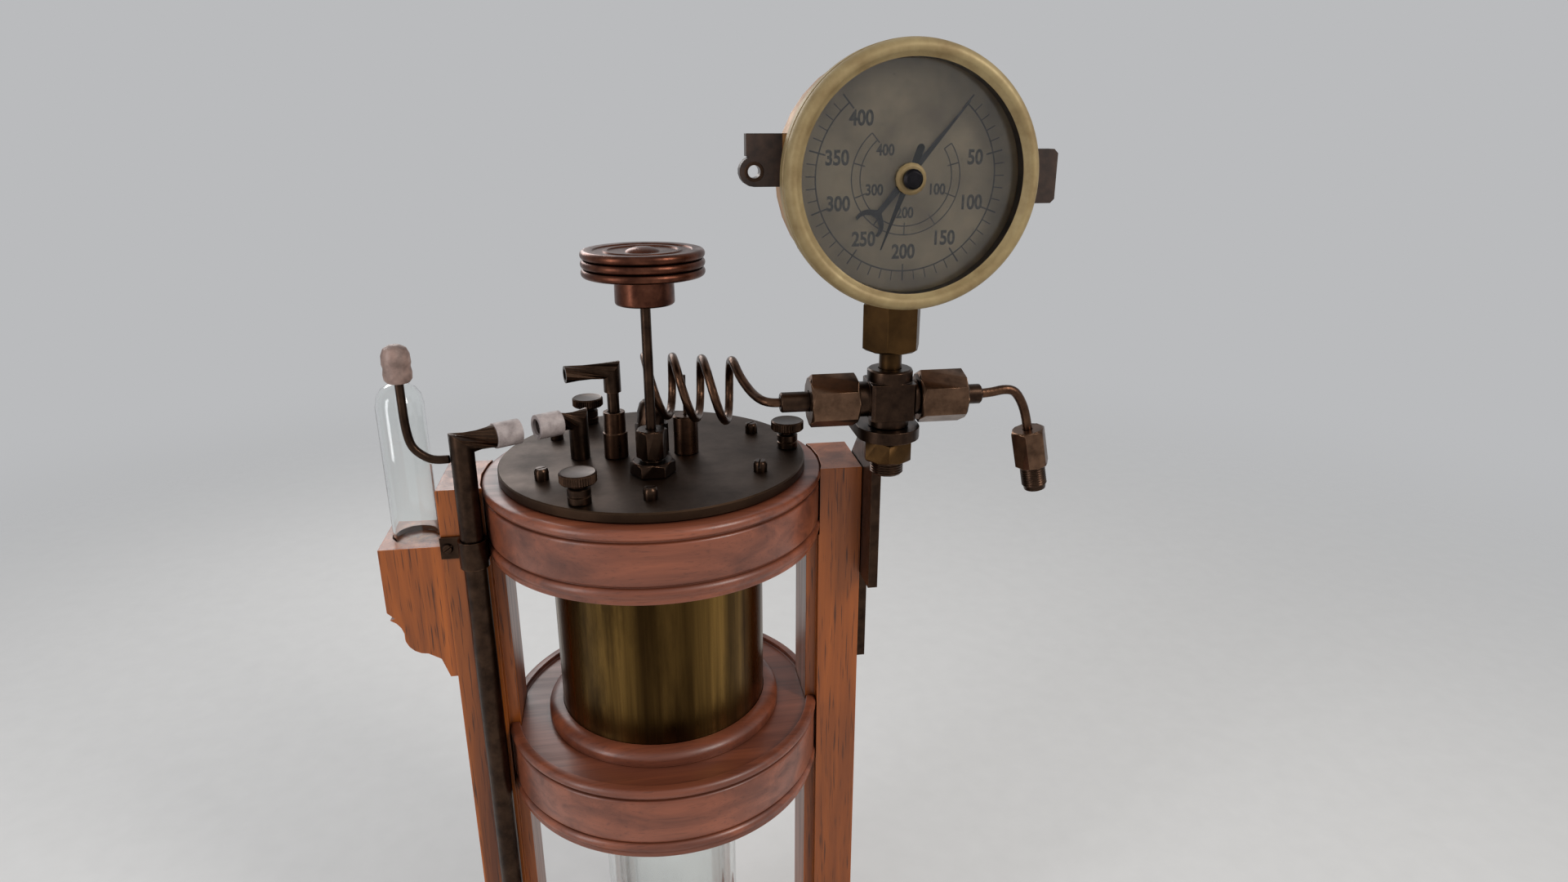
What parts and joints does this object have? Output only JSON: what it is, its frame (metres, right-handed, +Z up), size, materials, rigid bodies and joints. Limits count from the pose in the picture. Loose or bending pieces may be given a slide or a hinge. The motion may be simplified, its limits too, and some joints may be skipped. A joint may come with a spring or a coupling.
{
  "type": "gas liquefier",
  "caption": "Antique bench gas liquefier: brass jacket and glass flask on a two-post wooden stand, with handwheel valve, coiled pipe and pressure gauge",
  "frame": {"origin": "middle of the base's underside, on the axis of the lid and jacket", "axes": "+X to the right, -Y to the front, +Z up"},
  "size_m": [0.3784, 0.22, 0.7052],
  "materials": {
    "mahogany": "polished red-brown mahogany, worn at the edges",
    "oak": "varnished orange-brown oak",
    "dark_bronze": "dark patinated bronze",
    "lid_bronze": "dull, nearly black bronze",
    "copper_bronze": "copper-brown metal, polished by handling",
    "aged_brass": "aged brass with streaks",
    "pale_brass": "pale worn brass",
    "case_brass": "lacquered brass",
    "clear_glass": "clear blown glass",
    "dial_enamel": "matt grey-beige dial paint",
    "blued_steel": "blued steel",
    "grey_rubber": "aged grey rubber",
    "pink_rubber": "aged pinkish grey rubber",
    "cork": "plain cork"
  },
  "bodies": {
    "stand": {"base_plinth": "mahogany", "left_post": "oak", "right_post": "oak", "upper_ring": "mahogany", "lower_ring": "mahogany", "jacket_collar": "mahogany", "tube_corbel": "oak", "brass_jacket": "aged_brass", "lid_plate": "lid_bronze", "flask_outer": "clear_glass", "flask_liner": "clear_glass", "flask_pad": "cork", "exchanger_core": "aged_brass", "exchanger_winding": "copper_bronze", "expansion_valve": "dark_bronze", "gland_base": "dark_bronze", "gland_nut": "dark_bronze", "inlet_union": "dark_bronze", "rear_socket": "copper_bronze", "rear_pin": "dark_bronze", "vent_socket": "copper_bronze", "vent_elbow": "dark_bronze", "return_elbow": "dark_bronze", "return_sleeve": "grey_rubber", "exhaust_pipe": "dark_bronze", "exhaust_sleeve": "grey_rubber", "pipe_clip": "dark_bronze", "branch_pipe": "dark_bronze", "branch_stopper": "pink_rubber", "gas_tube": "clear_glass", "gauge_bracket": "dark_bronze", "cross_fitting": "dark_bronze", "bracket_lock_nut": "copper_bronze", "left_union_nut": "dark_bronze", "left_ferrule": "dark_bronze", "right_union_nut": "dark_bronze", "right_ferrule": "dark_bronze", "coil_pipe": "copper_bronze", "supply_pipe": "copper_bronze", "supply_nut": "dark_bronze", "supply_nipple": "dark_bronze", "gauge_stem": "pale_brass", "gauge_case": "case_brass", "gauge_bezel": "pale_brass", "gauge_glass": "clear_glass", "glass_bush": "pale_brass", "gauge_dial": "dial_enamel", "bourdon_tube": "aged_brass", "movement_frame": "aged_brass"},
    "valve_stem": {"valve_spindle": "dark_bronze"},
    "wheel": {"handwheel": "copper_bronze"},
    "thumb_1": {"thumb_screw_1": "dark_bronze"},
    "thumb_2": {"thumb_screw_2": "dark_bronze"},
    "thumb_3": {"thumb_screw_3": "dark_bronze"},
    "sector": {"sector_gear": "aged_brass"},
    "pointer": {"pointer_arbor": "blued_steel", "main_pointer": "blued_steel"},
    "max_pointer": {"maximum_pointer": "blued_steel", "reset_knob": "blued_steel"}
  },
  "joints": [
    {"name": "valve_rise", "type": "slide", "parent": "stand", "child": "valve_stem", "axis": [0, 0, 1], "range_m": [0, 0.002]},
    {"name": "wheel_turn", "type": "hinge", "parent": "valve_stem", "child": "wheel", "pos_m": [-0.0013, -0.0315, 0.59], "axis": [0, 0, 1], "range_deg": [0, 720]},
    {"name": "thumb_1_turn", "type": "hinge", "parent": "stand", "child": "thumb_1", "pos_m": [0.081, 0, 0.48], "axis": [0, 0, 1], "range_deg": [0, 720]},
    {"name": "thumb_2_turn", "type": "hinge", "parent": "stand", "child": "thumb_2", "pos_m": [-0.0405, 0.07015, 0.48], "axis": [0, 0, 1], "range_deg": [0, 720]},
    {"name": "thumb_3_turn", "type": "hinge", "parent": "stand", "child": "thumb_3", "pos_m": [-0.0405, -0.07015, 0.48], "axis": [0, 0, 1], "range_deg": [0, 720]},
    {"name": "sector_swing", "type": "hinge", "parent": "stand", "child": "sector", "pos_m": [0.1255, -0.066, 0.60685], "axis": [0, 1, 0], "range_deg": [-35, 0], "stiffness_Nm_per_rad": 0.3},
    {"name": "pointer_turn", "type": "hinge", "parent": "stand", "child": "pointer", "pos_m": [0.1255, -0.066, 0.643], "axis": [0, 1, 0], "range_deg": [0, 280]},
    {"name": "max_pointer_turn", "type": "hinge", "parent": "stand", "child": "max_pointer", "pos_m": [0.1255, -0.066, 0.643], "axis": [0, 1, 0], "range_deg": [-161, 119]}
  ],
  "couplings": [
    {"joint": "valve_rise", "follows": "wheel_turn", "m_per_rad": 0.000159},
    {"joint": "pointer_turn", "follows": "sector_swing", "ratio": -8}
  ]
}
